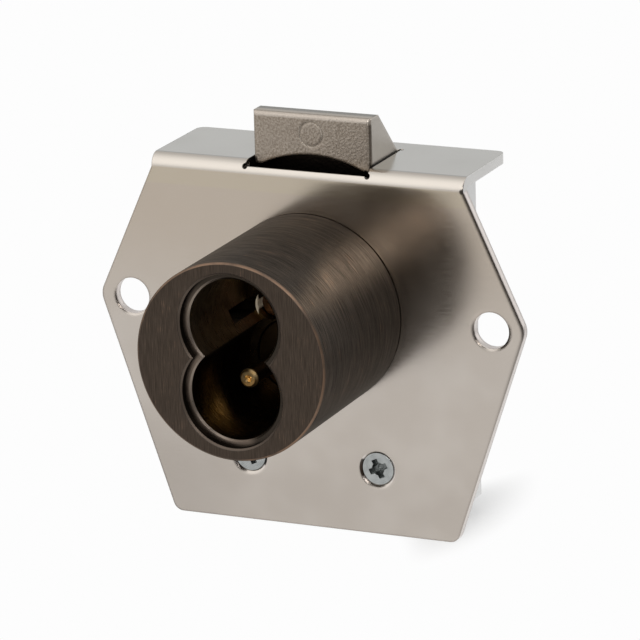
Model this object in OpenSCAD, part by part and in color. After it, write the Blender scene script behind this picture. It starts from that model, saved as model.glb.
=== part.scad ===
// Drawer lock: a spring latch behind a bent steel plate, worked through a round barrel
// that takes a removable figure-eight lock core.
// X runs to the right, Y from the front to the back, Z up, in millimetres.
// The origin is where the barrel's axis meets the front face of the plate.

/* [Mounting plate] */
// Thickness of the steel
plate_t = 1.5; // [1.3:0.1:1.8]
// Width between the two side points
plate_w = 66.4; // [63:0.1:70]
// How far the side points lie below the barrel's axis
side_drop = 0.3; // [0:0.1:2]
// Width of the bent top flange
flange_w = 48.4; // [46:0.1:52]
// Depth from the front face to the flange's rear edge
flange_depth = 16.5; // [16:0.1:19]
// Width along the bottom edge
bottom_w = 44.6; // [43:0.1:48]
// Height of the flange's top face above the barrel's axis
rise = 21.3; // [20.8:0.1:23]
// Depth of the bottom edge below the barrel's axis
drop = 32.7; // [32:0.1:36]
// Outer radius of the bend
bend_r = 1.9; // [1.9:0.1:2.6]
// Corner radius at the side points
side_r = 3; // [1:0.5:5]
// Corner radius at the bottom edge
bottom_r = 1.6; // [0.6:0.2:3]
// Corner radius at the flange's rear edge
flange_r = 1.4; // [0.6:0.2:3]
// Diameter of the fixing holes
fix_d = 5.4; // [4:0.1:6.2]
// Distance between the fixing holes
fix_pitch = 56.2; // [54:0.1:57]
// How far the fixing holes lie below the barrel's axis
fix_drop = 0.4; // [0:0.1:2]

/* [Barrel] */
// Outer diameter of the barrel
barrel_d = 28.6; // [28.2:0.1:31.8]
// Length of the barrel in front of the plate
barrel_len = 26.9; // [24:0.1:32]
// Thickness of the barrel's front wall
face_wall = 1.3; // [1.2:0.1:3]
// Thickness of the barrel's round wall
shell_wall = 1.7; // [1.2:0.1:1.8]
// Chamfer round the front edge and the core's mouth
edge_c = 0.3; // [0.2:0.1:0.8]

/* [Core socket] */
// Diameter of each lobe where it opens in the front wall
mouth_d = 15.2; // [14.6:0.1:15.6]
// Diameter of each lobe inside the housing
socket_d = 13.4; // [13.2:0.1:14.2]
// Distance between the centres of the two lobes
lobe_pitch = 9.9; // [9.6:0.1:10.4]
// Thickness of the wall that closes the socket's back
socket_floor = 6; // [5.4:0.1:7]
// Length of the pocket for the core's control lug
lug_len = 7.2; // [5:0.1:8]
// Height of that pocket
lug_h = 1.9; // [1.5:0.1:3]
// Depth of that pocket, measured from the barrel's axis
lug_reach = 9.4; // [8.4:0.1:10.4]

/* [Driver] */
// Diameter of the two pins that enter the core
pin_d = 2.8; // [2.4:0.1:3]
// Circle that the two pins lie on
pin_circle = 7; // [6:0.1:7.4]
// Length of each pin in front of the disc
pin_reach = 8.5; // [4:0.5:10]
// Angle of the pins at rest
pin_angle = 24; // [0:1:45]
// Diameter of the disc that carries the pins
disc_d = 10.4; // [10:0.1:10.6]
// Thickness of that disc
disc_t = 1.7; // [1.4:0.1:1.7]
// Diameter of the spindle
spindle_d = 7; // [6:0.1:7.2]
// Wall of the bush round the spindle
bush_wall = 1.45; // [1:0.05:1.6]
// Length of the bush
bush_len = 4.4; // [4:0.1:4.6]
// Thickness of the crank disc
crank_t = 2.5; // [2:0.1:3]
// Diameter of the crank pin
crank_pin_d = 3.2; // [2.6:0.1:3.4]
// Diameter of the stop pin
stop_d = 2.4; // [1.8:0.1:2.6]
// Angle through which the key turns the driver
key_turn = 90; // [80:1:100]

/* [Latch] */
// Width of the latch bolt's head
latch_w = 18.2; // [17:0.1:18.6]
// Depth of the head from front to back
latch_depth = 9.8; // [9.2:0.1:10]
// Travel of the latch bolt
throw = 6.9; // [6.2:0.1:7.4]
// Depth of the flat land on top of the head
land = 3; // [1.8:0.1:3.4]
// How far the head's front lip reaches below the flange's top face
lip_drop = 0.8; // [0.4:0.1:1.2]
// Height of the arch under the front lip
arch_h = 1.8; // [1:0.1:2.4]
// Radius of that arch
arch_r = 18; // [12:0.5:24]
// Radius along the head's front and side edges
latch_r = 0.55; // [0.2:0.05:0.8]
// Thickness of the shoulders that stop under the flange
shoulder_t = 3.5; // [2.8:0.1:4]
// Diameter of the two rods that carry the springs
rod_d = 2.2; // [1.8:0.1:2.6]

/* [Carriage and springs] */
// Thickness of the carriage, front to back
carriage_t = 4.2; // [3.8:0.1:4.4]
// Web above and below the crank slot
web = 2.2; // [1.6:0.1:2.6]
// Thickness of the wings under the springs
wing_t = 2.5; // [2:0.1:3]
// Length of a spring at rest
spring_len = 14.6; // [13.6:0.1:15.4]
// Outer diameter of a spring
spring_d = 5; // [4.4:0.1:5]
// Thickness of the spring wire
wire_d = 0.5; // [0.4:0.05:0.7]
// Number of curls in a spring
curls = 6.5; // [5.5:0.5:7.5]
// Outer diameter of the carriage's return spring
return_d = 4.4; // [4:0.1:4.6]
// Number of curls in the return spring
return_curls = 9; // [7:0.5:11]
// Diameter of the post inside the return spring
post_d = 2.2; // [1.8:0.1:2.6]
// Length of the post above the case's floor
post_len = 14; // [10:0.5:15]

/* [Rear case] */
// Outer width of the case
case_w = 40.4; // [39.8:0.1:42]
// Wall of the case
case_wall = 1.5; // [1.2:0.1:1.5]
// Depth of the case's bottom below the barrel's axis
case_drop = 30.6; // [30.2:0.1:31.6]
// Radius along the case's rear edges
case_r = 0.8; // [0.6:0.1:2]
// Distance between the two case screws
screw_pitch = 20.2; // [18:0.1:22]
// Height of the case screws above the case's bottom
screw_up = 7.7; // [6.6:0.1:8.2]
// Thread diameter of the case screws
screw_d = 3; // [2.5:0.1:3.5]
// Head diameter of the case screws
head_d = 4.8; // [4.4:0.1:5]
// Diameter of the bosses that take the case screws
boss_d = 7.4; // [6.4:0.1:7.6]

/* [Clearances] */
// Gap beside sliding and turning pieces
slide_gap = 0.3; // [0.2:0.05:0.4]
// Radial gap of turning and pressed fits
fit_gap = 0.05; // [0.02:0.01:0.08]
// Gap between the latch's front face and the plate
front_gap = 1.1; // [0.6:0.1:1.2]
// Gap round the latch in the flange's slot
slot_gap = 0.4; // [0.4:0.1:0.9]
// Play of the crank pin in its slot, above and below
crank_play = 0.3; // [0.25:0.05:0.4]

/* [Hidden] */
$fn = 72;
// Overshoot of a cut past the face that it opens
cut = 1;

// Barrel and socket
barrel_r = barrel_d / 2;
shell_bore_r = barrel_r - shell_wall;
housing_r = shell_bore_r - fit_gap;
mouth_r = mouth_d / 2;
socket_r = socket_d / 2;
lobe_z = lobe_pitch / 2;
front_y = -barrel_len;
ledge_y = front_y + face_wall;
floor_y = -socket_floor;
ledge_c = 0.25;
rear_c = 0.2;
lug_z = 1.2;
waist_x = sqrt(pow(socket_r, 2) - pow(lobe_z, 2));

// Screws and dowels that hold the housing on the plate
house_screw_d = 3;
house_head_d = 3.8;
house_head_h = 1.6;
house_recess = 3;
house_hex = 2;
house_head_gap = 0.15;
house_rim_c = 0.1;
house_x = 3.2;
house_z = 2.1;
dowel_d = 2;
dowel_edge = 2;
dowel_x = housing_r - dowel_edge - dowel_d / 2;
dowel_depth = 2;

// Driver
axis_z = -lobe_z;
spindle_r = spindle_d / 2;
bush_r = spindle_r + fit_gap + bush_wall;
bush_y = plate_t - bush_len;
disc_r = disc_d / 2;
disc_recess = 2.1;
disc_back_y = floor_y + disc_recess - slide_gap;
disc_front_y = disc_back_y - disc_t;
pin_tip_y = disc_front_y - pin_reach;
thrust_t = 0.3;
thrust_w = 1.6;
run_gap = 0.1;
crank_y = plate_t + thrust_t + run_gap;
crank_back_y = crank_y + crank_t;
crank_pin_r = crank_pin_d / 2;
crank_r = throw / (2 * sin(key_turn / 2));
crank_rim = 0.8;
crank_disc_r = crank_r + crank_pin_r + crank_rim;
neck_r = 3;
neck_flat = 2.3;
stop_past_rim = 0.2;
stop_x = crank_disc_r - stop_d / 2 + stop_past_rim;
stop_inner_r = stop_x - stop_d / 2 - slide_gap;
stop_turn = asin((stop_d / 2 + slide_gap) / stop_x);
cap_t = 0.4;
cap_r = crank_r - crank_pin_r - run_gap;
cap_rim = 0.4;
cap_screw_d = 3;
cap_head_r = cap_r - cap_rim;
cap_head_h = 1.7;
cap_tap = 3;
cap_screw_in = 2.8;

// Layer that the carriage and the latch's shoulders slide in
slide_y = crank_back_y + cap_t + cap_head_h + slide_gap;
slide_back_y = slide_y + carriage_t;
mid_y = (slide_y + slide_back_y) / 2;
under_z = rise - plate_t;

// Latch
latch_y = plate_t + front_gap;
latch_back_y = latch_y + latch_depth;
latch_x = latch_w / 2;
latch_top = rise + throw;
lip_z = rise - lip_drop;
bevel_foot_z = rise - 0.1;
shoulder_top = under_z - slide_gap;
shoulder_z = shoulder_top - shoulder_t;
side_gap = 1.05;
spring_x = latch_x + side_gap + spring_d / 2;
rail_x = spring_x + spring_d / 2 + side_gap;
tongue = 1;
slider_x = rail_x + tongue;
wing_top = shoulder_z - spring_len;
wing_z = wing_top - wing_t;
slot_z = axis_z + throw / 2;
slot_half = crank_pin_r + crank_play;
web_top = slot_z + slot_half + web;
web_z = slot_z - slot_half - web;
block_gap = 0.5;
block_z = web_top + throw + block_gap;
rod_r = rod_d / 2;
rod_seat = 2.5;
clip_t = 0.7;
clip_rim = 1.2;
clip_r = rod_r + clip_rim;
groove_depth = 0.3;
groove_r = rod_r - groove_depth;
rod_tail = 1;
clip_z = wing_z - slide_gap - clip_t;
rod_z = clip_z - rod_tail;
mark_up = 4;
mark_r = 1.9;
mark_w = 0.25;
mark_depth = 0.12;
bevel_r = 0.6;

// Latch slot in the flange, which starts part of the way round the bend
slot_x = latch_x + slot_gap;
slot_back_y = latch_back_y + slot_gap;
slot_turn = 34;
relief_r = 0.35;

// Case
case_x = case_w / 2;
screw_drop = case_drop - screw_up;
case_gap = 1.3;
case_back_y = latch_back_y + case_gap + case_wall;
case_floor_y = case_back_y - case_wall;
case_floor_z = case_wall - case_drop;
post_seat = 1;
rail_wall = 1.5;
rail_front_y = slide_y - slide_gap - rail_wall;
rail_drop = 14;
boss_r = boss_d / 2;
pilot_depth = 8.5;
screw_len = 8;
head_sink = 0.2;
head_land = 0.15;
head_cone = (head_d - screw_d) / 2;
sink_r = head_d / 2 + head_sink + head_land + fit_gap;
corner_r = bend_r - plate_t + 0.1;
// Cross recess: width and depth as shares of the head's diameter, the rest as shares of these
recess_w = 0.6;
recess_h = 0.22;
recess_arm = 0.3;
recess_mouth_r = 0.34;
recess_tip_r = 0.12;
recess_tip = 1.15;
recess_turn = -25;

function unit(v) = v / norm(v);

// Arc that rounds the corner b between its neighbours a and c
function fillet(a, b, c, r, n = 8) =
    let (
        u = unit(a - b),
        v = unit(c - b),
        half = acos(u * v) / 2,
        mid = b + unit(u + v) * r / sin(half),
        from = b + u * r / tan(half) - mid,
        to = b + v * r / tan(half) - mid,
        a0 = atan2(from[1], from[0]),
        sweep = (atan2(to[1], to[0]) - a0 + 540) % 360 - 180
    )
    [for (i = [0:n]) mid + r * [cos(a0 + sweep * i / n), sin(a0 + sweep * i / n)]];

// Outline with each corner rounded to its own radius, where 0 leaves it sharp
function rounded(p, r) =
    let (k = len(p))
    [for (i = [0:k - 1])
        each (r[i] > 0 ? fillet(p[(i + k - 1) % k], p[i], p[(i + 1) % k], r[i]) : [p[i]])];

// Extrudes an outline drawn in X and Z from y0 back to y1
module slab(y0, y1) {
    translate([0, y1, 0])
        rotate([90, 0, 0])
            linear_extrude(height = y1 - y0)
                children();
}

// Extrudes an outline drawn in Y and Z across the given width, centred on X
module across(w) {
    rotate([90, 0, 90])
        linear_extrude(height = w, center = true)
            children();
}

// Round bar along Y from y0 to y1, centred at x and z
module bar(x, z, r, y0, y1) {
    translate([x, y0, z])
        rotate([-90, 0, 0])
            cylinder(h = y1 - y0, r = r);
}

// Cone along Y with its own radius at each end
module cone(x, z, r0, r1, y0, y1) {
    translate([x, y0, z])
        rotate([-90, 0, 0])
            cylinder(h = y1 - y0, r1 = r0, r2 = r1);
}

// Ring along Y
module ring(x, z, r_out, r_in, y0, y1) {
    difference() {
        bar(x, z, r_out, y0, y1);
        bar(x, z, r_in, y0 - cut, y1 + cut);
    }
}

// Both lobes of the figure eight, straight or tapered, from y0 back to y1
module lobes(r0, r1, y0, y1) {
    for (z = [-lobe_z, lobe_z])
        cone(0, z, r0, r1, y0, y1);
}

// Cross recess in a screw head of the given diameter, sunk from the head's face
module cross_recess(head) {
    size = recess_w * head;
    depth = recess_h * head;
    for (a = [0, 90])
        rotate([0, a, 0])
            translate([0, depth / 2 - cut / 2, 0])
                cube([size, depth + cut, recess_arm * size], center = true);
    cone(0, 0, recess_mouth_r * size, recess_tip_r * size, 0, recess_tip * depth);
}

// Mounting plate

module plate_outline() {
    bend_z = rise - bend_r;
    polygon(rounded([
        [-flange_w / 2, bend_z],
        [-plate_w / 2, -side_drop],
        [-bottom_w / 2, -drop],
        [bottom_w / 2, -drop],
        [plate_w / 2, -side_drop],
        [flange_w / 2, bend_z]
    ], [0, side_r, bottom_r, bottom_r, side_r, 0]));
}

module bend() {
    translate([bend_r, rise - bend_r])
        difference() {
            intersection() {
                circle(r = bend_r);
                translate([-bend_r - cut, 0])
                    square([bend_r + cut, bend_r + cut]);
            }
            circle(r = bend_r - plate_t);
        }
}

module flange() {
    translate([0, 0, under_z])
        linear_extrude(height = plate_t)
            polygon(rounded([
                [-flange_w / 2, bend_r],
                [flange_w / 2, bend_r],
                [flange_w / 2, flange_depth],
                [-flange_w / 2, flange_depth]
            ], [0, 0, flange_r, flange_r]));
}

module latch_slot() {
    reach = 2 * bend_r;
    across(2 * slot_x)
        polygon([
            [bend_r, rise - bend_r],
            [bend_r - reach * cos(slot_turn), rise - bend_r + reach * sin(slot_turn)],
            [bend_r - reach * cos(slot_turn), rise + 2 * reach],
            [slot_back_y, rise + 2 * reach],
            [slot_back_y, under_z - cut],
            [bend_r, under_z - cut]
        ]);
    for (s = [-1, 1]) {
        translate([s * slot_x, slot_back_y, under_z - cut])
            cylinder(h = plate_t + 2 * cut, r = relief_r);
        bar(s * slot_x, rise - bend_r + bend_r * sin(slot_turn), relief_r, -cut, bend_r);
    }
}

module mounting_plate() {
    color([0.71, 0.67, 0.63])
        difference() {
            union() {
                slab(0, plate_t)
                    plate_outline();
                across(flange_w)
                    bend();
                flange();
            }
            latch_slot();
            for (s = [-1, 1]) {
                bar(s * fix_pitch / 2, -fix_drop, fix_d / 2, -cut, plate_t + cut);
                bar(s * house_x, house_z, house_screw_d / 2 + fit_gap, -cut, plate_t + cut);
                bar(s * dowel_x, 0, dowel_d / 2 + fit_gap, -cut, plate_t + cut);
                case_screw_hole(s);
            }
            bar(0, axis_z, bush_r + fit_gap, -cut, plate_t + cut);
            bar(-stop_x, axis_z, stop_d / 2 + fit_gap, -cut, plate_t + cut);
        }
}

module case_screw_hole(s) {
    x = s * screw_pitch / 2;
    hole_r = screw_d / 2 + fit_gap;
    cone(x, -screw_drop, sink_r + cut, hole_r, -cut, sink_r - hole_r);
    bar(x, -screw_drop, hole_r, 0, plate_t + cut);
}

// Barrel

module barrel_shell() {
    color([0.25, 0.21, 0.18])
        difference() {
            union() {
                bar(0, 0, barrel_r, front_y + edge_c, -rear_c);
                cone(0, 0, barrel_r - edge_c, barrel_r, front_y, front_y + edge_c);
                cone(0, 0, barrel_r, barrel_r - rear_c, -rear_c, 0);
            }
            bar(0, 0, shell_bore_r, ledge_y, cut);
            lobes(mouth_r, mouth_r, front_y - cut, ledge_y + cut);
            lobes(mouth_r + edge_c + cut, mouth_r, front_y - cut, front_y + edge_c);
        }
}

module core_housing() {
    color([0.5, 0.4, 0.24])
        difference() {
            bar(0, 0, housing_r, ledge_y, 0);
            lobes(socket_r, socket_r, ledge_y - cut, floor_y);
            lobes(socket_r + ledge_c + cut, socket_r, ledge_y - cut, ledge_y + ledge_c);
            lug_pocket();
            bar(0, axis_z, disc_r + slide_gap, floor_y - cut, floor_y + disc_recess);
            bar(0, axis_z, spindle_r + slide_gap, floor_y, cut);
            bar(0, axis_z, bush_r + fit_gap, bush_y, cut);
            for (s = [-1, 1]) {
                bar(s * house_x, house_z, house_screw_d / 2 + fit_gap, floor_y - cut, cut);
                house_counterbore(s * house_x, house_head_d / 2 + house_head_gap);
                bar(s * dowel_x, 0, dowel_d / 2 + fit_gap, -dowel_depth, cut);
            }
        }
}

// Counterbore in the socket's floor for a screw head, with a chamfered rim
module house_counterbore(x, r) {
    bar(x, house_z, r, floor_y - cut, floor_y + house_recess);
    cone(x, house_z, r + house_rim_c + fit_gap, r, floor_y - fit_gap, floor_y + house_rim_c);
}

// Pocket beside the upper lobe, where the core's control lug turns in to hold the core
module lug_pocket() {
    translate([-lug_reach, floor_y - lug_len, lug_z])
        cube([lug_reach, lug_len, lug_h]);
}

module housing_screws() {
    color([0.72, 0.72, 0.74])
        for (s = [-1, 1])
            difference() {
                union() {
                    bar(s * house_x, house_z, house_head_d / 2, floor_y + house_recess - house_head_h,
                        floor_y + house_recess);
                    bar(s * house_x, house_z, house_screw_d / 2, floor_y + house_recess, plate_t);
                }
                translate([s * house_x, floor_y + house_recess - house_head_h - cut, house_z])
                    rotate([-90, 0, 0])
                        cylinder(h = house_head_h / 2 + cut, r = house_hex / sqrt(3), $fn = 6);
            }
}

module locating_dowels() {
    color([0.6, 0.6, 0.62])
        for (s = [-1, 1])
            bar(s * dowel_x, 0, dowel_d / 2, -dowel_depth + fit_gap, plate_t - 2 * fit_gap);
}

// Driver: what the core turns

module driver_bushing() {
    color([0.72, 0.55, 0.3])
        ring(0, axis_z, bush_r, spindle_r + fit_gap, bush_y, plate_t);
}

module thrust_washer() {
    color([0.78, 0.76, 0.72])
        ring(0, axis_z, spindle_r + thrust_w, spindle_r + fit_gap, plate_t, plate_t + thrust_t);
}

module stop_pin() {
    color([0.6, 0.6, 0.62])
        bar(-stop_x, axis_z, stop_d / 2, 2 * fit_gap, crank_back_y);
}

// Flat-sided neck that carries the crank disc, with a gap all round where one is given
module neck(gap, y0, y1) {
    intersection() {
        bar(0, axis_z, neck_r + gap, y0, y1);
        translate([0, (y0 + y1) / 2, axis_z])
            cube([2 * (neck_flat + gap), y1 - y0 + cut, 2 * (neck_r + gap + cut)], center = true);
    }
}

module drive_spindle() {
    color([0.62, 0.5, 0.3])
        difference() {
            union() {
                bar(0, axis_z, disc_r, disc_front_y, disc_back_y);
                bar(0, axis_z, spindle_r, disc_back_y, crank_y - fit_gap);
                neck(0, crank_y - fit_gap, crank_back_y - fit_gap);
            }
            for (a = [pin_angle, pin_angle + 180])
                pin_at(a, pin_d / 2 + fit_gap / 2, disc_front_y - cut, disc_back_y + cut);
            bar(0, axis_z, cap_screw_d / 2 + fit_gap, crank_y - cap_tap, crank_back_y + cut);
        }
}

module pin_at(a, r, y0, y1) {
    bar(pin_circle / 2 * cos(a), axis_z + pin_circle / 2 * sin(a), r, y0, y1);
}

module driver_pins() {
    edge = 0.35;
    dimple = 0.55;
    dimple_tip = 0.05;
    color([0.8, 0.62, 0.28])
        for (a = [pin_angle, pin_angle + 180])
            translate([pin_circle / 2 * cos(a), 0, axis_z + pin_circle / 2 * sin(a)])
                difference() {
                    union() {
                        bar(0, 0, pin_d / 2, pin_tip_y + edge, disc_back_y);
                        cone(0, 0, pin_d / 2 - edge, pin_d / 2, pin_tip_y, pin_tip_y + edge);
                    }
                    cone(0, 0, dimple, dimple_tip, pin_tip_y, pin_tip_y + dimple);
                }
}

module crank_disc() {
    color([0.66, 0.65, 0.62])
        difference() {
            bar(0, axis_z, crank_disc_r, crank_y, crank_back_y);
            neck(fit_gap, crank_y - cut, crank_back_y + cut);
            crank_at(crank_pin_r + fit_gap / 2, crank_y - cut, crank_back_y + cut);
            stop_notch();
        }
}

// Notch in the crank disc's rim, in which the stop pin stands through the whole turn
module stop_notch() {
    far = 2 * crank_disc_r;
    a0 = 180 - stop_turn;
    a1 = 180 + key_turn + stop_turn;
    difference() {
        translate([0, 0, axis_z])
            slab(crank_y - cut, crank_back_y + cut)
                polygon(concat([[0, 0]], [for (i = [0:6]) far * [cos(a0 + (a1 - a0) * i / 6),
                                                                sin(a0 + (a1 - a0) * i / 6)]]));
        bar(0, axis_z, stop_inner_r, crank_y - 2 * cut, crank_back_y + 2 * cut);
    }
}

module crank_at(r, y0, y1) {
    bar(crank_r * cos(key_turn / 2), axis_z + crank_r * sin(key_turn / 2), r, y0, y1);
}

module crank_pin() {
    color([0.6, 0.6, 0.62])
        crank_at(crank_pin_r, crank_y, slide_back_y - slide_gap);
}

module crank_washer() {
    color([0.75, 0.75, 0.76])
        ring(0, axis_z, cap_r, cap_screw_d / 2 + fit_gap, crank_back_y, crank_back_y + cap_t);
}

module spindle_screw() {
    face_y = crank_back_y + cap_t;
    color([0.72, 0.72, 0.74])
        difference() {
            union() {
                bar(0, axis_z, cap_screw_d / 2, crank_y - cap_screw_in, face_y);
                bar(0, axis_z, cap_head_r, face_y, face_y + cap_head_h);
            }
            translate([0, face_y + cap_head_h, axis_z])
                rotate([0, 0, 180])
                    cross_recess(2 * cap_head_r);
        }
}

// Carriage: the slide that the crank pin moves

module retractor_carriage() {
    slot_in = crank_r * cos(key_turn / 2) - slot_half;
    slot_out = crank_r + slot_half;
    color([0.68, 0.66, 0.62])
        difference() {
            slab(slide_y, slide_back_y)
                difference() {
                    union() {
                        translate([-slider_x, wing_z])
                            square([2 * slider_x, wing_t]);
                        translate([-latch_x, web_z])
                            square([2 * latch_x, web_top - web_z]);
                    }
                    translate([slot_in + slot_half, slot_z - slot_half])
                        square([slot_out - slot_in - 2 * slot_half, 2 * slot_half]);
                    for (x = [slot_in + slot_half, slot_out - slot_half])
                        translate([x, slot_z])
                            circle(r = slot_half);
                }
            for (s = [-1, 1])
                translate([s * spring_x, mid_y, wing_z - cut])
                    cylinder(h = wing_t + 2 * cut, r = rod_r + slide_gap);
        }
}

// Springs: each is one tube along a helix

wire_r = wire_d / 2;
rings = 8;
sides = 6;

// A spring's data: radius of its helix, height of its lower end, rise in one curl, number of steps
function coil_of(outer_d, z0, z1, n) =
    let (low = z0 + fit_gap + wire_r, high = z1 - fit_gap - wire_r)
    [outer_d / 2 - wire_r, low, (high - low) / n, round(n * rings)];

function coil_point(c, i) =
    [c[0] * cos(360 * i / rings), c[0] * sin(360 * i / rings), c[1] + c[2] * i / rings];

// Ring of points round the wire at step i, square to the helix
function coil_ring(c, i) =
    let (
        a = 360 * i / rings,
        out = [cos(a), sin(a), 0],
        along = unit([-sin(a) * 2 * PI * c[0], cos(a) * 2 * PI * c[0], c[2]]),
        side = cross(along, out)
    )
    [for (k = [0:sides - 1])
        coil_point(c, i) + wire_r * (out * cos(360 * k / sides) + side * sin(360 * k / sides))];

function coil_faces(steps) = concat(
    [[for (k = [0:sides - 1]) k]],
    [for (i = [0:steps - 1], k = [0:sides - 1])
        let (a = i * sides + k, b = i * sides + (k + 1) % sides)
        each [[a, a + sides, b], [b, a + sides, b + sides]]],
    [[for (k = [sides - 1:-1:0]) steps * sides + k]]
);

// Least gap between one curl and the next, measured on the helix
function coil_gap(c) =
    min([for (i = [0:c[3] - rings], j = [i + rings - 1:min(i + rings + 1, c[3])])
        norm(coil_point(c, i) - coil_point(c, j))]) - wire_d;

module coil(c) {
    polyhedron(points = [for (i = [0:c[3]]) each coil_ring(c, i)], faces = coil_faces(c[3]));
}

latch_coil = coil_of(spring_d, wing_top, shoulder_z, curls);
return_coil = coil_of(return_d, case_floor_z, web_z, return_curls);
echo(latch_spring_gap = coil_gap(latch_coil), return_spring_gap = coil_gap(return_coil));

module spring_at(s) {
    color([0.55, 0.55, 0.57])
        translate([s * spring_x, mid_y, 0])
            coil(latch_coil);
}

module latch_spring_left() {
    spring_at(-1);
}

module latch_spring_right() {
    spring_at(1);
}

module return_spring() {
    color([0.55, 0.55, 0.57])
        translate([0, mid_y, 0])
            coil(return_coil);
}

module return_post() {
    color([0.66, 0.66, 0.68])
        translate([0, mid_y, case_floor_z - post_seat])
            cylinder(h = post_seat + post_len, r = post_d / 2);
}

// Latch bolt

module head_profile() {
    polygon(rounded([
        [latch_y, lip_z],
        [latch_y, latch_top],
        [latch_y + land, latch_top],
        [latch_back_y, bevel_foot_z],
        [latch_back_y, lip_z]
    ], [0, latch_r, bevel_r, 0, 0]));
}

module latch_head() {
    intersection() {
        across(latch_w)
            head_profile();
        translate([0, 0, lip_z - cut])
            linear_extrude(height = latch_top - lip_z + 2 * cut)
                polygon(rounded([
                    [-latch_x, latch_y],
                    [latch_x, latch_y],
                    [latch_x, latch_back_y + cut],
                    [-latch_x, latch_back_y + cut]
                ], [latch_r, latch_r, 0, 0]));
    }
}

module latch_bolt() {
    arch_z = lip_z + arch_h - arch_r;
    color([0.6, 0.57, 0.51])
        difference() {
            union() {
                latch_head();
                slab(slide_y, slide_back_y) {
                    translate([-latch_x, block_z])
                        square([latch_w, lip_z - block_z]);
                    translate([-slider_x, shoulder_z])
                        square([2 * slider_x, shoulder_t]);
                }
            }
            bar(0, arch_z, arch_r, latch_y - cut, slide_y);
            ring(0, rise + mark_up, mark_r, mark_r - mark_w, latch_y - cut, latch_y + mark_depth);
            for (s = [-1, 1])
                rod_at(s, rod_r + fit_gap / 2, shoulder_z - cut, shoulder_z + rod_seat);
        }
}

module rod_at(s, r, z0, z1) {
    translate([s * spring_x, mid_y, z0])
        cylinder(h = z1 - z0, r = r);
}

module latch_rods() {
    color([0.66, 0.66, 0.68])
        for (s = [-1, 1]) {
            rod_at(s, rod_r, clip_z + clip_t, shoulder_z + rod_seat);
            rod_at(s, groove_r, clip_z, clip_z + clip_t);
            rod_at(s, rod_r, rod_z, clip_z);
        }
}

module rod_clips() {
    color([0.45, 0.45, 0.47])
        for (s = [-1, 1])
            difference() {
                rod_at(s, clip_r, clip_z + fit_gap, clip_z + clip_t - fit_gap);
                rod_at(s, groove_r + fit_gap, clip_z - cut, clip_z + clip_t + cut);
                translate([s * spring_x - groove_r, slide_y - cut, clip_z - cut])
                    cube([2 * groove_r, carriage_t / 2 + cut, clip_t + 2 * cut]);
            }
}

// Rear case

// Tray of the case, grown or shrunk by one value all round
module tray(x, y0, y1, z0, z1, r) {
    intersection() {
        translate([0, 0, z0])
            linear_extrude(height = z1 - z0)
                polygon(rounded([[-x, y0], [x, y0], [x, y1], [-x, y1]], [0, 0, r, r]));
        slab(y0, y1)
            polygon(rounded([[-x, z0], [x, z0], [x, z1], [-x, z1]], [r, r, 0, 0]));
        across(2 * x)
            polygon(rounded([[y0, z0], [y1, z0], [y1, z1], [y0, z1]], [0, r, 0, corner_r]));
    }
}

module rear_case() {
    top_z = under_z - fit_gap;
    inner_x = case_x - case_wall;
    inner_r = max(case_r - case_wall, 0.3);
    color([0.74, 0.73, 0.71])
        difference() {
            union() {
                difference() {
                    tray(case_x, plate_t, case_back_y, -case_drop, top_z, case_r);
                    tray(inner_x, plate_t - cut, case_floor_y, case_floor_z, top_z + cut, inner_r);
                }
                for (s = [-1, 1]) {
                    guide_rail(s, inner_x + case_wall / 2, top_z);
                    bar(s * screw_pitch / 2, -screw_drop, boss_r, plate_t, case_floor_y + case_wall / 2);
                }
            }
            for (s = [-1, 1])
                bar(s * screw_pitch / 2, -screw_drop, screw_d / 2 + fit_gap, plate_t - cut,
                    plate_t + pilot_depth);
            translate([0, mid_y, case_floor_z - post_seat - fit_gap])
                cylinder(h = post_seat + fit_gap + cut, r = post_d / 2 + fit_gap / 2);
        }
}

// Channel on the case's side wall, in which the carriage and the latch's shoulders run
module guide_rail(s, outer_x, top_z) {
    difference() {
        translate([s > 0 ? rail_x : -outer_x, rail_front_y, -rail_drop])
            cube([outer_x - rail_x, case_floor_y + case_wall / 2 - rail_front_y, top_z + rail_drop]);
        translate([s > 0 ? rail_x - cut : -slider_x - slide_gap, slide_y - slide_gap, -rail_drop - cut])
            cube([tongue + slide_gap + cut, carriage_t + 2 * slide_gap, top_z + rail_drop + 2 * cut]);
    }
}

module case_screws() {
    color([0.76, 0.78, 0.8])
        for (s = [-1, 1])
            translate([s * screw_pitch / 2, 0, -screw_drop])
                difference() {
                    union() {
                        bar(0, 0, head_d / 2, head_sink, head_sink + head_land);
                        cone(0, 0, head_d / 2, screw_d / 2, head_sink + head_land,
                            head_sink + head_land + head_cone);
                        bar(0, 0, screw_d / 2, head_sink, plate_t + screw_len);
                    }
                    translate([0, head_sink, 0])
                        rotate([0, recess_turn, 0])
                            cross_recess(head_d);
                }
}

mounting_plate();
barrel_shell();
core_housing();
housing_screws();
locating_dowels();
driver_bushing();
thrust_washer();
stop_pin();
rear_case();
case_screws();
drive_spindle();
driver_pins();
crank_disc();
crank_pin();
crank_washer();
spindle_screw();
retractor_carriage();
return_spring();
return_post();
latch_spring_left();
latch_spring_right();
latch_bolt();
latch_rods();
rod_clips();
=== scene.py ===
"""Looks of the drawer lock: materials for every piece, wound springs, floor, light and camera."""

import math

import bmesh
import bpy
from mathutils import Matrix, Vector


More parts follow.
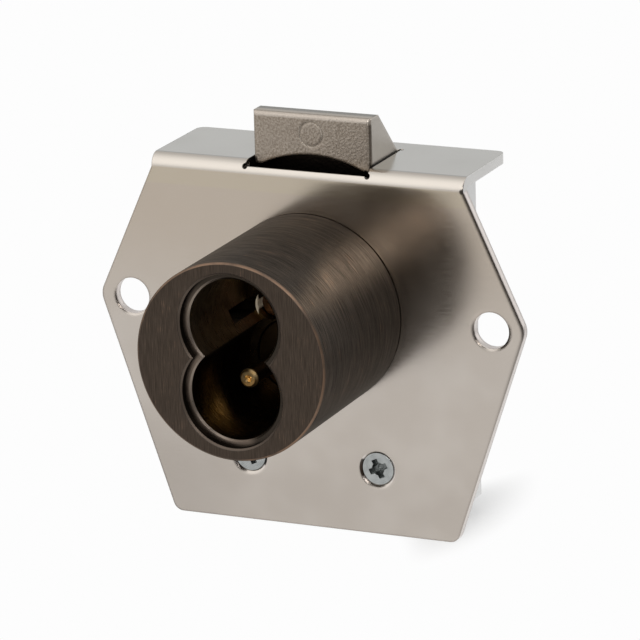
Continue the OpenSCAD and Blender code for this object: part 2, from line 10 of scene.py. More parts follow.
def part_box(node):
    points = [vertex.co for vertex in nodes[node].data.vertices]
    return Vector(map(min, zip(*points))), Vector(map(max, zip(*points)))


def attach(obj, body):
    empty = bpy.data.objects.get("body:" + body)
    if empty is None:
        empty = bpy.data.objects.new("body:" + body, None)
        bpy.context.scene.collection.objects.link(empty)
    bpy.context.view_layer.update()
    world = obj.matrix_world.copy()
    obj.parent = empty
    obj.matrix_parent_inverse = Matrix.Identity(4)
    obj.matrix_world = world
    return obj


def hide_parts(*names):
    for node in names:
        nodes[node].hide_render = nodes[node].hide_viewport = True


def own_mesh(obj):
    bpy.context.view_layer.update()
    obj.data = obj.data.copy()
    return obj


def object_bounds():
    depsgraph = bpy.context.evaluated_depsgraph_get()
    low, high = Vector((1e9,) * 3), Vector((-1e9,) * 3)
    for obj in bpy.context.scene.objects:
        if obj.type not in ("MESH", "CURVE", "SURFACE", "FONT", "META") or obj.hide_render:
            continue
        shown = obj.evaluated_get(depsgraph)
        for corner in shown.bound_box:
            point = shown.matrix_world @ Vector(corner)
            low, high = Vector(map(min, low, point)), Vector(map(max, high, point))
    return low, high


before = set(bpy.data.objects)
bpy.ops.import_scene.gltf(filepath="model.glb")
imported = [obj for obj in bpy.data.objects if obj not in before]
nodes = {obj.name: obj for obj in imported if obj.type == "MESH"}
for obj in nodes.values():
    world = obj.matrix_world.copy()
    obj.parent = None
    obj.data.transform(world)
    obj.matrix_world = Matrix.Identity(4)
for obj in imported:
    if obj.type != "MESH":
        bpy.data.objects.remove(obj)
cad_box = [list(corner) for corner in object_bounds()]

MM = 0.001
scene = bpy.context.scene


def box_mm(node):
    """The node's lowest and highest corners in millimetres."""
    return [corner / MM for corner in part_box(node)]


# Sizes and places in millimetres that the materials follow, from the frame where a box gives them

PLATE_TOP = box_mm("mounting_plate")[1].z
FLANGE_REAR = box_mm("mounting_plate")[1].y
BEND_R = 1.9
BEND_Z = PLATE_TOP - BEND_R
# Spot at the flange's right end that is painted dark, as shade.
NOTCH_SHADE_SPOT = (24.0, BEND_Z + 0.05)

LATCH_FRONT = box_mm("latch_bolt")[0].y
LATCH_REAR = box_mm("latch_bolt")[1].y
LATCH_TOP = box_mm("latch_bolt")[1].z
LATCH_X = 9.1
LIP_Z = PLATE_TOP - 0.8
MARK_Z = 25.3
MARK_R = 1.78

SLOT_GAP = 0.4
SLOT_X = LATCH_X + SLOT_GAP
SLOT_REAR = LATCH_REAR + SLOT_GAP
SLOT_TURN = math.radians(34)
RELIEF_Z = BEND_Z + BEND_R * math.sin(SLOT_TURN)
RELIEF_R = 0.35
RELIEFS = ((-SLOT_X, RELIEF_Z), (SLOT_X, RELIEF_Z))

BARREL_FRONT = box_mm("barrel_shell")[0].y
BARREL_R = box_mm("barrel_shell")[1].x
CHAMFER_END = BARREL_FRONT + 0.3
REAR_CHAMFER = 0.2
LOBE_Z = 4.95
LOBES = ((0, LOBE_Z), (0, -LOBE_Z))
MOUTH_R = 7.6

LEDGE_Y = box_mm("core_housing")[0].y
SOCKET_R = 6.7
SOCKET_FLOOR = -6.0
HOUSE_SCREW = (-3.2, 2.1)
COUNTERBORE_R = 2.05
PIN_TIP = box_mm("driver_pins")[0].y

SCREW_HEAD_Y = box_mm("case_screws")[0].y
CASE_SCREWS = ((-10.1, -22.9), (10.1, -22.9))


# Node trees

class Wiring:
    """Short ways to add nodes to one node tree and to join them."""

    def __init__(self, tree):
        self.tree = tree

    def node(self, kind, inputs=(), **settings):
        made = self.tree.nodes.new(kind)
        for key, value in settings.items():
            setattr(made, key, value)
        for key, value in dict(inputs).items():
            self.join(value, made.inputs[key])
        return made

    def join(self, value, socket):
        """Links a node's output to the socket, or sets the socket to a number, vector or colour."""
        if isinstance(value, bpy.types.NodeSocket):
            self.tree.links.new(value, socket)
        elif isinstance(value, tuple) and socket.type == "RGBA":
            socket.default_value = (*value, 1)
        else:
            socket.default_value = value

    def calc(self, operation, a, b=0.0):
        return self.node("ShaderNodeMath", {0: a, 1: b}, operation=operation).outputs[0]

    def chain(self, operation, values):
        """One Math node after another, each of which takes in one more of the values."""
        result, *rest = values
        for value in rest:
            result = self.calc(operation, result, value)
        return result

    def add(self, *values):
        return self.chain("ADD", values)

    def multiply(self, *values):
        return self.chain("MULTIPLY", values)

    def lowest(self, *values):
        return self.chain("MINIMUM", values)

    def highest(self, *values):
        return self.chain("MAXIMUM", values)

    def subtract(self, a, b):
        return self.calc("SUBTRACT", a, b)

    def divide(self, a, b):
        return self.calc("DIVIDE", a, b)

    def absolute(self, value):
        return self.calc("ABSOLUTE", value)

    def length(self, across, up):
        """Length of the slanting side over two sides at a right angle."""
        return self.calc("SQRT", self.add(self.multiply(across, across), self.multiply(up, up)))

    def spread(self, value, low, high, to_low=0.0, to_high=1.0):
        """Maps low..high smoothly to to_low..to_high, held at both ends. Low may be the larger."""
        inputs = {0: value, 1: low, 2: high, 3: to_low, 4: to_high}
        return self.node("ShaderNodeMapRange", inputs, interpolation_type="SMOOTHSTEP").outputs[0]

    def blend(self, share, first, second):
        """A number between the first, at share 0, and the second, at share 1."""
        return self.node("ShaderNodeMix", {0: share, 2: first, 3: second}).outputs[0]

    def mix(self, share, first, second):
        """A colour between the first, at share 0, and the second, at share 1."""
        return self.node("ShaderNodeMix", {0: share, 6: first, 7: second}, data_type="RGBA").outputs[2]

    def split(self, vector):
        return self.node("ShaderNodeSeparateXYZ", {0: vector}).outputs[:3]

    def toward(self, vector, direction):
        """How far a vector of length 1 points along the direction: 1 is straight along it."""
        inputs = {0: vector, 1: direction}
        return self.node("ShaderNodeVectorMath", inputs, operation="DOT_PRODUCT").outputs["Value"]


class Surface(Wiring):
    """A Principled material whose textures are laid out in millimetres in the part's own frame."""

    def __init__(self, name, metallic=1.0):
        self.material = bpy.data.materials.new(name)
        self.material.use_nodes = True
        super().__init__(self.material.node_tree)
        self.shader = self.tree.nodes["Principled BSDF"]
        self.set("Metallic", metallic)
        coordinates = self.node("ShaderNodeTexCoord").outputs
        inputs = {0: coordinates["Object"], "Scale": 1 / MM}
        self.place = self.node("ShaderNodeVectorMath", inputs, operation="SCALE").outputs[0]
        self.x, self.y, self.z = self.split(self.place)
        self.normal = self.split(coordinates["Normal"])
        self.facing = [self.absolute(part) for part in self.normal]

    def set(self, name, value):
        self.join(value, self.shader.inputs[name])

    def stretched(self, x, y, z):
        """The place in millimetres, multiplied along each axis: a large factor makes fine detail."""
        inputs = {0: self.place, 1: (x, y, z)}
        return self.node("ShaderNodeVectorMath", inputs, operation="MULTIPLY").outputs[0]

    def noise(self, vector, scale=1.0, detail=3.0, roughness=0.55):
        inputs = {"Vector": vector, "Scale": scale, "Detail": detail, "Roughness": roughness}
        return self.node("ShaderNodeTexNoise", inputs).outputs["Fac"]

    def cells(self, vector, scale):
        return self.node("ShaderNodeTexVoronoi", {"Vector": vector, "Scale": scale}).outputs["Distance"]

    def from_axes(self, *axes):
        """Distance to the nearest of some axes along Y, each given as its x and z, in millimetres."""
        distances = [self.length(self.subtract(self.x, x), self.subtract(self.z, z)) for x, z in axes]
        return self.lowest(*distances)

    def soft_edges(self, radius, samples=8):
        """Normal that turns smoothly over each edge, within the given radius in millimetres."""
        reach = self.multiply(radius, MM)
        return self.node("ShaderNodeBevel", {"Radius": reach}, samples=samples).outputs[0]

    def bump(self, height, depth, over=None):
        """Relief of the given depth in millimetres, laid over the given normal where there is one."""
        made = self.node("ShaderNodeBump", {"Height": height, "Strength": 1.0, "Distance": depth * MM})
        if over is not None:
            self.join(over, made.inputs["Normal"])
        return made.outputs[0]


# Materials, in which a mask is 1 where its colour lies over the tone so far

# Direction of the edge normals that mirror a dark part of the room, where a dark reflection is painted.
NORMAL_MIRRORING_DARK = (0.64, -0.707, 0.3)
# Share of painted shade in the latch's slot, its relief holes and the spot at the flange's right end.
GAP_SHADE_SHARE = 0.93


def plate_steel():
    """Satin plate, a little warmer under the bend, with lighter and duller cut edges.

    Painted near black, as shade, are the sides of the latch's slot with its relief holes, and a spot at
    the flange's right end. The rolled right edge of the front has a painted dark reflection. The bend is
    painted lighter, as a highlight, and the flange's top a cooler grey, as a reflection.
    """
    s = Surface("plate_steel_finish")
    clouds = s.noise(s.place, scale=0.09, detail=2.0)
    grain = s.noise(s.stretched(0.35, 6.0, 9.0), roughness=0.6)
    specks = s.noise(s.place, scale=2.6, detail=4.0, roughness=0.7)
    tone = s.mix(s.spread(clouds, 0.35, 0.65), (0.555, 0.50, 0.445), (0.605, 0.55, 0.495))
    upper = s.spread(s.z, -8.0, 14.0, 0.0, 0.8)
    tone = s.mix(upper, tone, (0.52, 0.442, 0.358))
    low_left = s.multiply(s.spread(s.x, -8.0, -20.0), s.spread(s.z, -12.0, -24.0, 0.0, 0.5))
    tone = s.mix(low_left, tone, (0.44, 0.395, 0.35))
    under_bend = s.spread(s.z, BEND_Z - 2.6, BEND_Z - 2.2, 0.0, 0.8)
    tone = s.mix(under_bend, tone, (0.545, 0.475, 0.37))
    # Painted highlight: the bend is lighter.
    bend_highlight = s.spread(s.z, BEND_Z - 0.1, BEND_Z + 0.2)
    tone = s.mix(bend_highlight, tone, (0.65, 0.595, 0.53))
    # Painted reflection: the flange's top is a cooler grey.
    flange_top_reflection = s.multiply(s.spread(s.facing[2], 0.97, 0.99),
                        s.spread(s.z, PLATE_TOP - 0.1, PLATE_TOP - 0.01))
    tone = s.mix(flange_top_reflection, tone, (0.54, 0.535, 0.505))
    light_grain = s.spread(grain, 0.3, 0.7, 0.0, 0.12)
    tone = s.mix(light_grain, tone, (0.68, 0.63, 0.58))
    dark_specks = s.spread(specks, 0.62, 0.75, 0.0, 0.2)
    tone = s.mix(dark_specks, tone, (0.38, 0.33, 0.28))

    low_cut = s.multiply(s.spread(s.facing[1], 0.4, 0.2), s.spread(s.z, BEND_Z + 0.1, BEND_Z - 0.1))
    side_cut = s.spread(s.facing[0], 0.4, 0.6)
    rear_cut = s.spread(s.y, FLANGE_REAR - 0.2, FLANGE_REAR - 0.1)
    cut = s.highest(low_cut, side_cut, rear_cut)
    worn = s.mix(s.spread(s.z, BEND_Z - 0.2, BEND_Z + 0.2), (0.78, 0.72, 0.68), (0.76, 0.75, 0.73))
    # Painted shade: the sides of the latch's slot go near black.
    slot_side_shade = s.multiply(s.spread(s.facing[2], 0.4, 0.3),
                         s.spread(s.absolute(s.x), SLOT_X + 1.1, SLOT_X + 0.9),
                         s.spread(s.y, SLOT_REAR + 1.1, SLOT_REAR + 0.8))
    # The cut edges' own lighter tone, with painted shade on the slot's sides.
    worn = s.mix(s.multiply(slot_side_shade, GAP_SHADE_SHARE), worn, (0.015, 0.012, 0.01))
    tone = s.mix(cut, tone, worn)

    edges = s.soft_edges(s.spread(s.z, BEND_Z - 0.4, BEND_Z + 0.2, 0.9, 0.25), samples=12)
    # Painted reflection: a near-black line where the softened edges turn this way, as along the front's
    # right edge.
    rolled = s.spread(s.toward(edges, NORMAL_MIRRORING_DARK), 0.82, 0.95, 0.0, 0.75)
    tone = s.mix(rolled, tone, (0.05, 0.032, 0.022))
    # Painted shade: a dark spot at the flange's right end, and the relief holes near black.
    notch = s.multiply(s.spread(s.from_axes(NOTCH_SHADE_SPOT), 0.5, 0.22), s.spread(s.facing[1], 0.3, 0.5))
    relief = s.multiply(s.spread(s.from_axes(*RELIEFS), RELIEF_R + 0.06, RELIEF_R + 0.02),
                        s.spread(s.y, BEND_R + 0.6, BEND_R + 0.1))
    tone = s.mix(s.multiply(s.highest(notch, relief), GAP_SHADE_SHARE), tone, (0.03, 0.024, 0.02))

    s.set("Base Color", tone)
    satin = s.spread(s.add(grain, clouds), 0.7, 1.3, 0.15, 0.24)
    s.set("Roughness", s.add(satin, s.multiply(cut, 0.12)))
    s.set("Normal", s.bump(grain, 0.0006, edges))
    return s.material


def dark_bronze():
    """Brushed dark bronze, with turned lines on the side and upright ones on the face.

    It is rubbed to copper in streaks and round the front rim. The mouth's chamfer is a lighter
    The mouth's wall and the joint with the plate are painted near black, as shade.
    """
    s = Surface("dark_bronze_finish", metallic=0.9)
    turned = s.noise(s.stretched(0.25, 12.0, 0.25), detail=4.0, roughness=0.65)
    drawn = s.noise(s.stretched(11.0, 0.3, 0.35), detail=4.0, roughness=0.6)
    on_face = s.spread(s.facing[1], 0.6, 0.9)
    lines = s.blend(on_face, turned, drawn)
    patches = s.noise(s.place, scale=0.25)
    fine = s.noise(s.stretched(1.2, 5.0, 1.2), detail=2.0)
    side = s.mix(s.spread(lines, 0.34, 0.66), (0.031, 0.0265, 0.023), (0.131, 0.110, 0.092))
    face = s.mix(s.spread(lines, 0.3, 0.7), (0.044, 0.033, 0.025), (0.080, 0.060, 0.046))
    tone = s.mix(on_face, side, face)
    streaks = s.multiply(s.spread(lines, 0.56, 0.72), s.spread(patches, 0.40, 0.60),
                         s.spread(fine, 0.4, 0.6), s.spread(on_face, 0.0, 1.0, 1.0, 0.4))
    tone = s.mix(streaks, tone, (0.30, 0.17, 0.10))

    from_middle = s.from_axes((0, 0))
    rim = s.multiply(s.spread(from_middle, BARREL_R - 0.32, BARREL_R - 0.22),
                     s.spread(s.y, BARREL_FRONT + 0.5, BARREL_FRONT + 0.05),
                     s.spread(patches, 0.3, 0.6, 0.2, 1.0))
    tone = s.mix(rim, tone, (0.26, 0.165, 0.11))
    in_mouth = s.spread(from_middle, BARREL_R - 1.3, BARREL_R - 1.4)
    lip = s.multiply(s.spread(s.y, BARREL_FRONT + 0.02, BARREL_FRONT + 0.1),
                     s.spread(s.y, CHAMFER_END + 0.02, CHAMFER_END - 0.02), in_mouth)
    tone = s.mix(s.multiply(lip, 0.8), tone, (0.15, 0.115, 0.09))
    # Painted shade: the mouth's wall is near black.
    wall = s.multiply(s.spread(s.y, CHAMFER_END - 0.02, CHAMFER_END + 0.04),
                      s.spread(s.from_axes(*LOBES), MOUTH_R + 0.15, MOUTH_R + 0.1), in_mouth)
    tone = s.mix(wall, tone, (0.012, 0.010, 0.008))
    # Painted shade: a near-black line at the joint with the plate.
    joint = s.spread(s.y, -REAR_CHAMFER - 0.06, -REAR_CHAMFER)
    tone = s.mix(joint, tone, (0.010, 0.006, 0.003))

    s.set("Base Color", tone)
    s.set("Specular Tint", (0.50, 0.49, 0.48))
    s.set("Roughness", s.spread(lines, 0.3, 0.7, 0.46, 0.36))
    s.set("Normal", s.bump(lines, 0.008))
    return s.material


def socket_brass():
    """Dull brass, browned with age, with painted light and shade: lighter in the upper lobe, dark in
    the lower and towards the floor.

    A light crescent, which is a painted glint, lies left of the left housing screw's counterbore. The
    ledge behind the mouth has painted shade to the right and upwards, and a light line painted as a
    glint along the socket's left edge.
    """
    s = Surface("socket_brass_finish")
    rings = s.noise(s.stretched(0.4, 7.0, 0.4))
    stained = s.spread(s.noise(s.place, scale=0.5), 0.35, 0.65)
    # Painted light and shade: the upper lobe is lighter, the lower lobe dark.
    upper = s.mix(stained, (0.42, 0.35, 0.26), (0.56, 0.475, 0.36))
    lower = s.mix(stained, (0.045, 0.034, 0.022), (0.075, 0.057, 0.037))
    tone = s.mix(s.spread(s.z, -1.5, 0.5), lower, upper)
    # Painted shade: darker deeper in, towards the floor.
    floor_shade = s.spread(s.y, SOCKET_FLOOR - 6.0, SOCKET_FLOOR - 0.5)
    tone = s.mix(floor_shade, tone, (0.07, 0.05, 0.028))
    # Painted highlight: a light, non-metallic crescent beside the counterbore stands for a glint.
    crescent = s.multiply(s.spread(s.from_axes(HOUSE_SCREW), COUNTERBORE_R + 0.4, COUNTERBORE_R + 0.3),
                          s.spread(s.y, SOCKET_FLOOR - 0.2, SOCKET_FLOOR - 0.1),
                          s.spread(s.x, HOUSE_SCREW[0] - 1.85, HOUSE_SCREW[0] - 2.0))
    tone = s.mix(crescent, tone, (0.90, 0.78, 0.60))
    s.set("Metallic", s.subtract(1.0, crescent))

    # Painted shade: the ledge darkens to the right and upwards.
    shaded = s.highest(s.spread(s.x, 1.5, 3.5), s.spread(s.z, 5.0, 11.5))
    ledge = s.mix(shaded, (0.15, 0.115, 0.09), (0.04, 0.032, 0.025))
    # Painted highlight: a light line on the ledge along the socket's left edge.
    ledge_edge_glint = s.multiply(s.spread(s.from_axes(*LOBES), SOCKET_R + 0.3, SOCKET_R + 0.2),
                       s.spread(s.x, 0.0, -3.0, 0.0, 0.8))
    ledge = s.mix(ledge_edge_glint, ledge, (0.34, 0.28, 0.23))
    on_ledge = s.spread(s.y, LEDGE_Y + 0.3, LEDGE_Y + 0.2)
    tone = s.mix(on_ledge, tone, ledge)

    s.set("Base Color", tone)
    s.set("Specular Tint", (0.55, 0.50, 0.42))
    s.set("Roughness", s.spread(rings, 0.3, 0.7, 0.26, 0.36))
    s.set("Normal", s.bump(rings, 0.004))
    return s.material


def pin_brass():
    """Bright brass on the pins' ends, with the shafts below them painted dark brown, as shade."""
    s = Surface("pin_brass_finish")
    stains = s.noise(s.place, scale=1.2)
    bright = s.mix(s.spread(stains, 0.35, 0.65), (0.76, 0.52, 0.23), (0.84, 0.62, 0.32))
    # Painted shade: below their ends the pins are dark brown.
    shaft_shade = s.spread(s.y, PIN_TIP + 0.3, PIN_TIP + 0.9)
    s.set("Base Color", s.mix(shaft_shade, bright, (0.07, 0.045, 0.02)))
    s.set("Roughness", s.spread(stains, 0.3, 0.7, 0.3, 0.38))
    return s.material


def turned_brass():
    """Stained brass, painted dark brown in the socket, as shade."""
    s = Surface("turned_brass_finish")
    stains = s.noise(s.place, scale=0.6)
    tone = s.mix(s.spread(stains, 0.35, 0.65), (0.32, 0.22, 0.10), (0.45, 0.33, 0.17))
    # Painted shade: dark brown in the socket.
    socket_shade = s.spread(s.y, SOCKET_FLOOR + 4.0, SOCKET_FLOOR + 2.0)
    s.set("Base Color", s.mix(socket_shade, tone, (0.05, 0.032, 0.016)))
    s.set("Roughness", s.spread(stains, 0.3, 0.7, 0.34, 0.44))
    return s.material


def cast_zinc():
    """Grainy cast front, smoother lighter sides, and a land that darkens towards the rear.

    The top edge is worn light and painted with a highlight, the right front edge has a painted dark
    reflection, the round mark is a light one, and what lies under the lip and in the plate's slot is
    painted near black, as shade.
    """
    s = Surface("cast_zinc_finish")
    grains = s.noise(s.place, scale=3.4, roughness=0.6)
    pits = s.cells(s.place, 2.4)
    broad = s.noise(s.place, scale=0.35, detail=2.0)
    tone = s.mix(s.spread(grains, 0.36, 0.64), (0.28, 0.232, 0.185), (0.42, 0.36, 0.30))
    tone = s.mix(s.spread(pits, 0.0, 0.22, 0.35, 0.0), tone, (0.15, 0.12, 0.095))
    tone = s.mix(s.spread(broad, 0.4, 0.7, 0.0, 0.3), tone, (0.36, 0.31, 0.26))
    smooth = s.spread(s.facing[1], 0.3, 0.15)
    tone = s.mix(smooth, tone, (0.52, 0.48, 0.43))
    on_land = s.multiply(s.spread(s.facing[2], 0.96, 0.99),
                         s.spread(s.z, LATCH_TOP - 0.1, LATCH_TOP - 0.05))
    land_rear = s.spread(s.y, LATCH_FRONT + 1.1, LATCH_FRONT + 2.0)
    tone = s.mix(on_land, tone, s.mix(land_rear, (0.50, 0.45, 0.39), (0.27, 0.26, 0.235)))
    # Wear and painted highlight: the top front edge is lighter.
    worn_top_edge_highlight = s.multiply(s.spread(s.facing[2], 0.96, 0.9),
                          s.spread(s.y, LATCH_FRONT + 0.7, LATCH_FRONT + 0.6),
                          s.spread(s.z, LATCH_TOP - 0.8, LATCH_TOP - 0.6))
    tone = s.mix(s.multiply(worn_top_edge_highlight, 0.8), tone, (0.56, 0.495, 0.43))
    # Painted reflection: a dark line along the right front edge.
    right_edge_dark_reflection = s.multiply(s.spread(s.x, LATCH_X - 0.28, LATCH_X - 0.15),
                            s.spread(s.y, LATCH_FRONT + 0.75, LATCH_FRONT + 0.6),
                            s.spread(s.z, LATCH_TOP - 0.8, LATCH_TOP - 1.0, 0.0, 0.65))
    tone = s.mix(right_edge_dark_reflection, tone, (0.09, 0.072, 0.058))
    off_line = s.absolute(s.subtract(s.from_axes((0, MARK_Z)), MARK_R))
    on_front = s.spread(s.y, LATCH_FRONT + 0.3, LATCH_FRONT + 0.2)
    mark = s.multiply(s.spread(off_line, 0.32, 0.08), on_front)
    tone = s.mix(s.multiply(mark, 0.35), tone, (0.56, 0.50, 0.43))
    # Painted shade: what lies under the lip and in the plate's slot goes near black.
    lip_underside = s.spread(s.normal[2], -0.3, -0.5)
    behind_lip = s.multiply(s.spread(s.normal[1], -0.5, -0.6),
                            s.spread(s.y, LATCH_FRONT + 0.6, LATCH_FRONT + 0.8))
    under_lip_shade = s.multiply(s.highest(lip_underside, behind_lip), s.spread(s.z, LIP_Z + 3.5, LIP_Z + 3.3))
    shade_in_slot = s.spread(s.z, LIP_Z + 0.1, LIP_Z - 0.05)
    tone = s.mix(s.highest(under_lip_shade, shade_in_slot), tone, (0.014, 0.011, 0.009))

    s.set("Base Color", tone)
    s.set("Roughness", s.highest(s.spread(grains, 0.3, 0.7, 0.42, 0.3), s.multiply(mark, 0.7)))
    relief = s.add(grains, s.multiply(pits, 0.5))
    height = s.multiply(relief, s.spread(smooth, 0.0, 1.0, 1.0, 0.08))
    s.set("Normal", s.bump(height, 0.05, s.soft_edges(0.6, samples=12)))
    return s.material


def steel(name, dark, light, roughness, line_depth=0.003):
    """Plain or plated steel with faint drawn lines and a cloudy tone."""
    s = Surface(name)
    streaks = s.noise(s.stretched(0.5, 5.0, 5.0), roughness=0.6)
    cloudy = s.add(streaks, s.noise(s.place, scale=0.22))
    s.set("Base Color", s.mix(s.spread(cloudy, 0.7, 1.3), dark, light))
    s.set("Roughness", s.spread(cloudy, 0.7, 1.3, roughness, roughness + 0.12))
    s.set("Normal", s.bump(streaks, line_depth))
    return s.material


def screw_zinc():
    """Pale zinc plate with turned rings on the head, and painted shade inside the cross recess."""
    s = Surface("screw_zinc_finish")
    from_screw = s.from_axes(*CASE_SCREWS)
    rings = s.calc("SINE", s.multiply(from_screw, 26.0))
    clouds = s.noise(s.place, scale=1.1)
    tone = s.mix(s.spread(clouds, 0.3, 0.7), (0.37, 0.385, 0.38), (0.48, 0.495, 0.485))
    # Painted shade inside the cross recess.
    recess = s.multiply(s.spread(from_screw, 1.6, 1.5),
                        s.spread(s.y, SCREW_HEAD_Y + 0.01, SCREW_HEAD_Y + 0.1))
    s.set("Base Color", s.mix(recess, tone, (0.17, 0.18, 0.175)))
    s.set("Roughness", s.spread(rings, -1.0, 1.0, 0.26, 0.34))
    s.set("Normal", s.bump(rings, 0.0015, s.soft_edges(0.12)))
    return s.material


def paint(material, *names):
    for name in names:
        for place in nodes[name].material_slots:
            place.material = material


paint(plate_steel(), "mounting_plate")
paint(dark_bronze(), "barrel_shell")
paint(socket_brass(), "core_housing")
paint(turned_brass(), "driver_bushing", "drive_spindle")
paint(pin_brass(), "driver_pins")
paint(cast_zinc(), "latch_bolt")
paint(steel("case_steel_finish", (0.76, 0.76, 0.75), (0.86, 0.86, 0.85), 0.3, line_depth=0.005),
      "rear_case")
paint(screw_zinc(), "case_screws")
paint(steel("spindle_screw_finish", (0.36, 0.37, 0.38), (0.5, 0.51, 0.51), 0.25), "spindle_screw")
paint(steel("dark_screw_finish", (0.09, 0.05, 0.03), (0.16, 0.09, 0.055), 0.3), "housing_screws")
paint(steel("dowel_finish", (0.38, 0.36, 0.34), (0.5, 0.48, 0.45), 0.3), "locating_dowels")
paint(steel("inner_steel_finish", (0.44, 0.43, 0.41), (0.56, 0.55, 0.52), 0.32),
      "thrust_washer", "stop_pin", "crank_disc", "crank_pin", "crank_washer", "retractor_carriage",
      "latch_rods", "return_post")
paint(steel("spring_steel_finish", (0.24, 0.24, 0.26), (0.36, 0.36, 0.38), 0.22), "rod_clips")
spring_wire = steel("spring_wire_finish", (0.3, 0.3, 0.32), (0.42, 0.42, 0.44), 0.2)


# Springs, in millimetres until their points are set

WIRE_R = 0.25
WIRE_SIDES = 14
RINGS_IN_CURL = 40
LATCH_CURLS = 6.5
RETURN_CURLS = 9


def add_object(name, mesh, material):
    """Makes an object of the bmesh, in the given material, and frees the bmesh."""
    data = bpy.data.meshes.new(name)
    mesh.to_mesh(data)
    mesh.free()
    data.materials.append(material)
    made = bpy.data.objects.new(name, data)
    scene.collection.objects.link(made)
    return made


def wound_wire(low, high, curls):
    """Bmesh of a round wire in a helix along Z that fills the box from low to high."""
    centre = (low + high) / 2
    helix_r = (high.x - low.x) / 2 - WIRE_R
    start_z = low.z + WIRE_R
    rise = (high.z - low.z - 2 * WIRE_R) / curls
    mesh = bmesh.new()
    rings = []
    for i in range(round(curls * RINGS_IN_CURL) + 1):
        a = 2 * math.pi * i / RINGS_IN_CURL
        out = Vector((math.cos(a), math.sin(a), 0))
        along = Vector((-math.sin(a) * 2 * math.pi * helix_r, math.cos(a) * 2 * math.pi * helix_r, rise))
        side = along.normalized().cross(out)
        middle = out * helix_r + Vector((centre.x, centre.y, start_z + rise * i / RINGS_IN_CURL))
        ring = []
        for k in range(WIRE_SIDES):
            turn = 2 * math.pi * k / WIRE_SIDES
            point = middle + WIRE_R * (out * math.cos(turn) + side * math.sin(turn))
            ring.append(mesh.verts.new(point * MM))
        rings.append(ring)
    for before, after in zip(rings, rings[1:]):
        for k in range(WIRE_SIDES):
            n = (k + 1) % WIRE_SIDES
            mesh.faces.new((before[k], after[k], after[n], before[n])).smooth = True
    mesh.faces.new(rings[0])
    mesh.faces.new(reversed(rings[-1]))
    bmesh.ops.recalc_face_normals(mesh, faces=mesh.faces)
    return mesh


def spring(name, node, body, curls):
    """A spring on the CAD spring's own helix, with a rounder wire, that moves with the given body."""
    low, high = box_mm(node)
    made = add_object(name, wound_wire(low, high, curls), spring_wire)
    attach(made, body)
    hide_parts(node)
    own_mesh(made)


for side in ("left", "right"):
    spring(f"latch_spring_{side}_wire", f"latch_spring_{side}", "carriage", LATCH_CURLS)
spring("return_spring_wire", "return_spring", "frame", RETURN_CURLS)


# Floor and light, with places in metres and brightness as a share of white

WHITE = 0.982
SKY_FRONT = 1.33
SKY_REAR = 0.6
SKY_LOW = 0.78
SKY_FILL = 0.4
BACKDROP_LEFT = 0.74
BACKDROP_RIGHT = 0.95
DARK_SIDE = (0.703, -0.683, 0.2)
DARK_SIDE_LEFT_OVER = 0.12

FLOOR_HALF = 2.5
FLOOR_PAINT = (0.8, 0.8, 0.8)
FLOOR_IN_GLOSS = 0.86
FLOOR_FRONT_RIGHT = 0.25
GLOW_IN_GLOSS = 0.8
SHADOW_HALF_WIDTH = 0.0165
SHADOW_FADE = 0.0089
SHADOW_MIDDLE_Y = 0.012
SHADOW_REACH = (0.011, 0.022)
GLOW_IN_SHADOW = 0.3


class Staging(Wiring):
    """Node tree of the world or the floor, which looks different to the camera, gloss and light."""

    def __init__(self, tree):
        super().__init__(tree)
        self.coordinates = self.node("ShaderNodeTexCoord").outputs
        rays = self.node("ShaderNodeLightPath").outputs
        self.camera = rays["Is Camera Ray"]
        self.seen = self.highest(self.camera, rays["Is Glossy Ray"], rays["Is Transmission Ray"])


def make_world():
    """White to the camera. Gloss sees a bright front-left, a dimmer backdrop and a dark front-right."""
    world = bpy.data.worlds.new("studio")
    world.use_nodes = True
    t = Staging(world.node_tree)
    direction = t.coordinates["Generated"]
    x, y, z = t.split(direction)
    sky = t.multiply(t.spread(y, -0.8, 0.8, SKY_FRONT, SKY_REAR), t.spread(z, -0.05, 0.35, SKY_LOW, 1.0))
    backdrop = t.spread(x, -0.3, 0.4, BACKDROP_LEFT, BACKDROP_RIGHT)
    on_backdrop = t.multiply(t.spread(z, 0.44, 0.34), t.spread(y, 0.0, 0.4))
    dimmed = t.spread(t.toward(direction, DARK_SIDE), 0.42, 0.75, 1.0, DARK_SIDE_LEFT_OVER)
    room = t.multiply(t.blend(on_backdrop, sky, backdrop), dimmed)
    shown = t.blend(t.camera, room, WHITE)
    background = world.node_tree.nodes["Background"].inputs
    t.join(t.blend(t.seen, SKY_FILL, shown), background["Strength"])
    t.join((1, 1, 1), background["Color"])
    scene.world = world


def pale_floor():
    """White to the camera, but for the case's shadow, and dimmer towards the front right in gloss."""
    material = bpy.data.materials.new("pale_floor")
    material.use_nodes = True
    tree = material.node_tree
    tree.nodes.remove(tree.nodes["Principled BSDF"])
    t = Staging(tree)
    x, y = t.split(t.coordinates["Object"])[:2]
    front_right = t.subtract(x, t.multiply(y, 0.4))
    in_gloss = t.spread(front_right, 0.04, 0.085, FLOOR_IN_GLOSS, FLOOR_FRONT_RIGHT)
    glow = t.node("ShaderNodeEmission", {"Strength": t.blend(t.camera, in_gloss, WHITE)})
    matt = t.node("ShaderNodeBsdfDiffuse", {"Color": FLOOR_PAINT})
    past_side = t.highest(t.subtract(t.absolute(x), SHADOW_HALF_WIDTH), 0.0)
    sideways = t.divide(past_side, SHADOW_FADE)
    reach = t.spread(x, 0.012, 0.022, *SHADOW_REACH)
    backwards = t.divide(t.subtract(y, SHADOW_MIDDLE_Y), reach)
    out_of_shadow = t.spread(t.length(sideways, backwards), 0.2, 1.2, GLOW_IN_SHADOW, 1.0)
    glows = t.multiply(t.seen, t.blend(t.camera, GLOW_IN_GLOSS, out_of_shadow))
    both = t.node("ShaderNodeMixShader", {0: glows, 1: matt.outputs[0], 2: glow.outputs[0]})
    t.join(both.outputs[0], tree.nodes["Material Output"].inputs["Surface"])
    return material


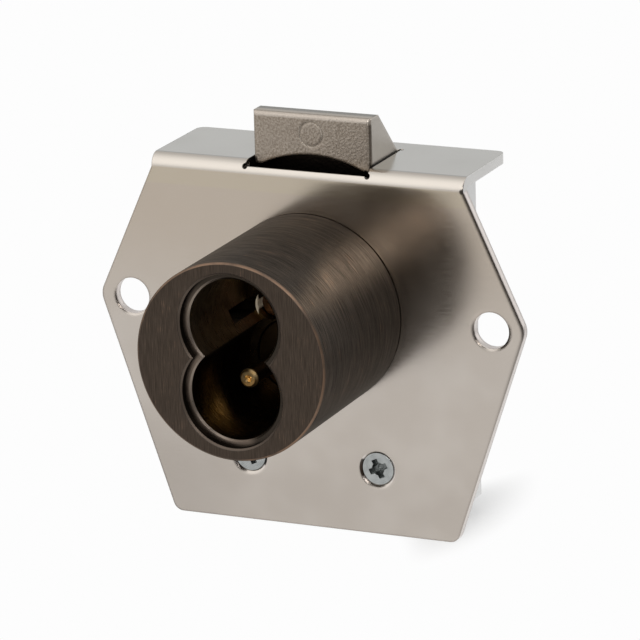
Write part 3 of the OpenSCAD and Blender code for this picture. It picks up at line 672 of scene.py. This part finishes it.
def make_floor():
    """A wide square sheet under the lowest point of the part."""
    mesh = bmesh.new()
    signs = ((-1, -1), (1, -1), (1, 1), (-1, 1))
    mesh.faces.new([mesh.verts.new((x * FLOOR_HALF, y * FLOOR_HALF, cad_box[0][2])) for x, y in signs])
    floor = add_object("floor", mesh, pale_floor())


def softbox(name, place, size, radiance, in_gloss=True):
    """A square lamp of the given size that shines evenly towards the origin."""
    lamp = bpy.data.lights.new(name, "AREA")
    lamp.shape = "SQUARE"
    lamp.size = size
    lamp.energy = radiance * math.pi * size * size
    holder = bpy.data.objects.new(name, lamp)
    holder.location = place
    holder.rotation_euler = (-Vector(place)).to_track_quat("-Z", "Y").to_euler()
    holder.visible_camera = False
    holder.visible_glossy = in_gloss
    scene.collection.objects.link(holder)


# The camera that was fitted to the photograph, with angles in radians and places in metres

AZIMUTH = 0.424
ELEVATION = 0.289
ROLL = -0.029
DISTANCE = 0.65393
TARGET = Vector((0.001716, 0, -0.001306))
LENS = 257.04
SENSOR = 36


def make_camera():
    """Looks at the target from its azimuth and elevation, rolled a little about its own axis."""
    back = Vector((math.sin(AZIMUTH) * math.cos(ELEVATION), -math.cos(AZIMUTH) * math.cos(ELEVATION),
                   math.sin(ELEVATION)))
    right = (-back).cross(Vector((0, 0, 1))).normalized()
    up = right.cross(-back)
    rolled_right = right * math.cos(ROLL) + up * math.sin(ROLL)
    rolled_up = up * math.cos(ROLL) - right * math.sin(ROLL)
    data = bpy.data.cameras.new("camera")
    data.sensor_width = SENSOR
    data.lens = LENS
    data.clip_start = 0.01
    data.clip_end = 20
    camera = bpy.data.objects.new("camera", data)
    axes = Matrix((rolled_right, rolled_up, back)).transposed().to_4x4()
    camera.matrix_world = Matrix.Translation(TARGET + back * DISTANCE) @ axes
    scene.collection.objects.link(camera)
    scene.camera = camera


make_world()
make_floor()
softbox("overhead", place=(-0.18, -0.12, 0.6), size=0.65, radiance=1.1, in_gloss=False)
softbox("key", place=(0.33, -0.10, 0.42), size=0.22, radiance=5.0)
softbox("over_camera", place=(0.235, -0.63, 0.285), size=0.22, radiance=11.5)
make_camera()
scene.view_settings.view_transform = "Standard"
